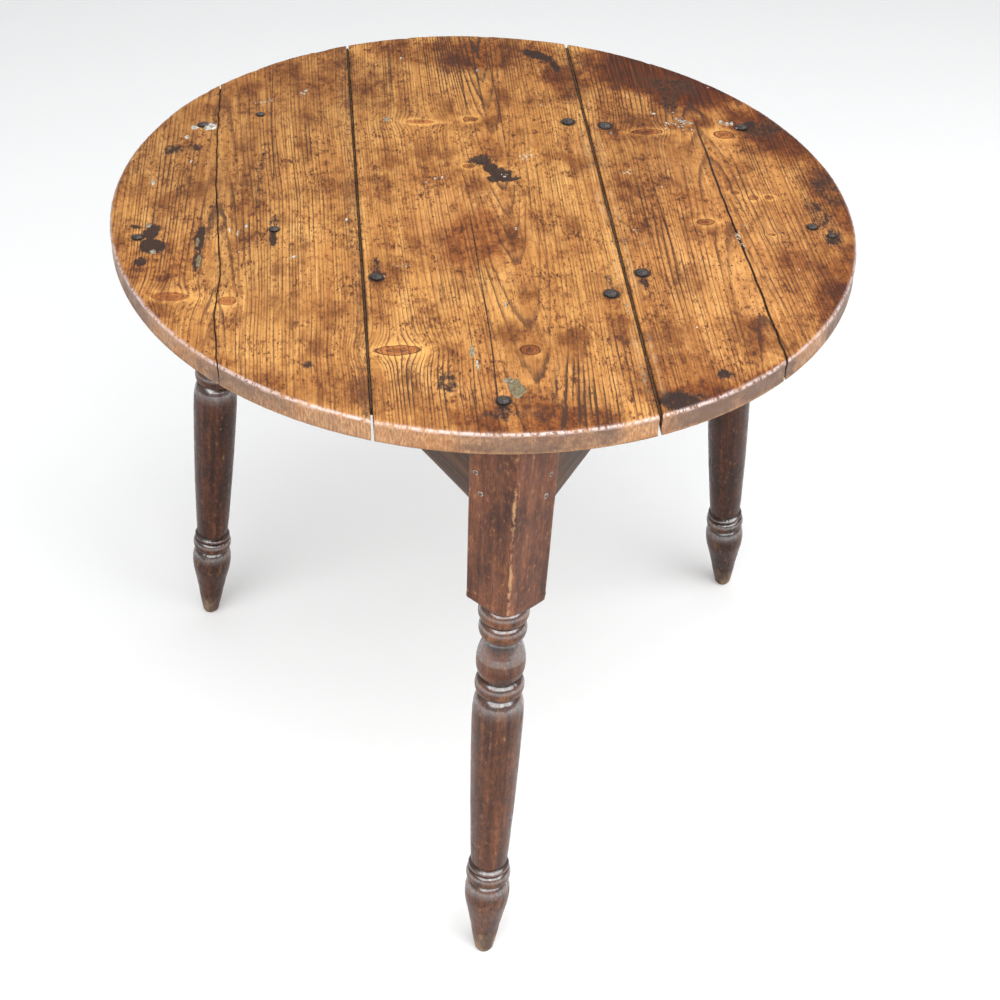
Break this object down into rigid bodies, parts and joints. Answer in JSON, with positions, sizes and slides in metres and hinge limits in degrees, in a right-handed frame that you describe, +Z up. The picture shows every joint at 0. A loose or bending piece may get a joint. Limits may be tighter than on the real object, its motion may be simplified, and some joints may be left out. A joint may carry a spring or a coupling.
{
  "type": "cricket table",
  "caption": "Round-topped rustic side table of nailed pine boards on a pegged triangular frame with splayed turned legs.",
  "frame": {"origin": "on the floor, in the middle of the box that holds the whole table", "axes": "+Z up; -Y towards the leg at the front, along the run of the top's boards; +X to the right"},
  "size_m": [0.7338, 0.7584, 0.7075],
  "materials": {
    "pine_boards": "old waxed pine, honey to dark brown, stained and worn, satin",
    "dark_turned_wood": "dark red-brown stained and polished wood, worn at the arrises and toes",
    "dark_rails": "dark grey-brown stained wood, dull",
    "bare_batten": "bare, dusty underside wood, matt",
    "oak_pegs": "weathered oak end grain, matt",
    "iron_nails": "blackened wrought iron, worn to a dull shine"
  },
  "bodies": {
    "root": {"cross_batten": "bare_batten", "leg_front": "dark_turned_wood", "leg_left": "dark_turned_wood", "leg_right": "dark_turned_wood", "nail_back_rail_centre_board": "iron_nails", "nail_back_rail_left_board": "iron_nails", "nail_back_rail_right_board": "iron_nails", "nail_batten_left": "iron_nails", "nail_batten_left_end": "iron_nails", "nail_batten_right": "iron_nails", "nail_batten_right_end": "iron_nails", "nail_front_leg": "iron_nails", "nail_left_leg": "iron_nails", "nail_left_rail": "iron_nails", "nail_right_leg": "iron_nails", "nail_right_rail_centre_board": "iron_nails", "nail_right_rail_side_board": "iron_nails", "peg_front_far_1": "oak_pegs", "peg_front_far_2": "oak_pegs", "peg_front_near_1": "oak_pegs", "peg_front_near_2": "oak_pegs", "peg_left_far_1": "oak_pegs", "peg_left_far_2": "oak_pegs", "peg_left_near_1": "oak_pegs", "peg_left_near_2": "oak_pegs", "peg_right_far_1": "oak_pegs", "peg_right_far_2": "oak_pegs", "peg_right_near_1": "oak_pegs", "peg_right_near_2": "oak_pegs", "rail_back": "dark_rails", "rail_front_left": "dark_rails", "rail_front_right": "dark_rails", "top_board_centre": "pine_boards", "top_board_left_inner": "pine_boards", "top_board_left_outer": "pine_boards", "top_board_right": "pine_boards"}
  },
  "joints": []
}
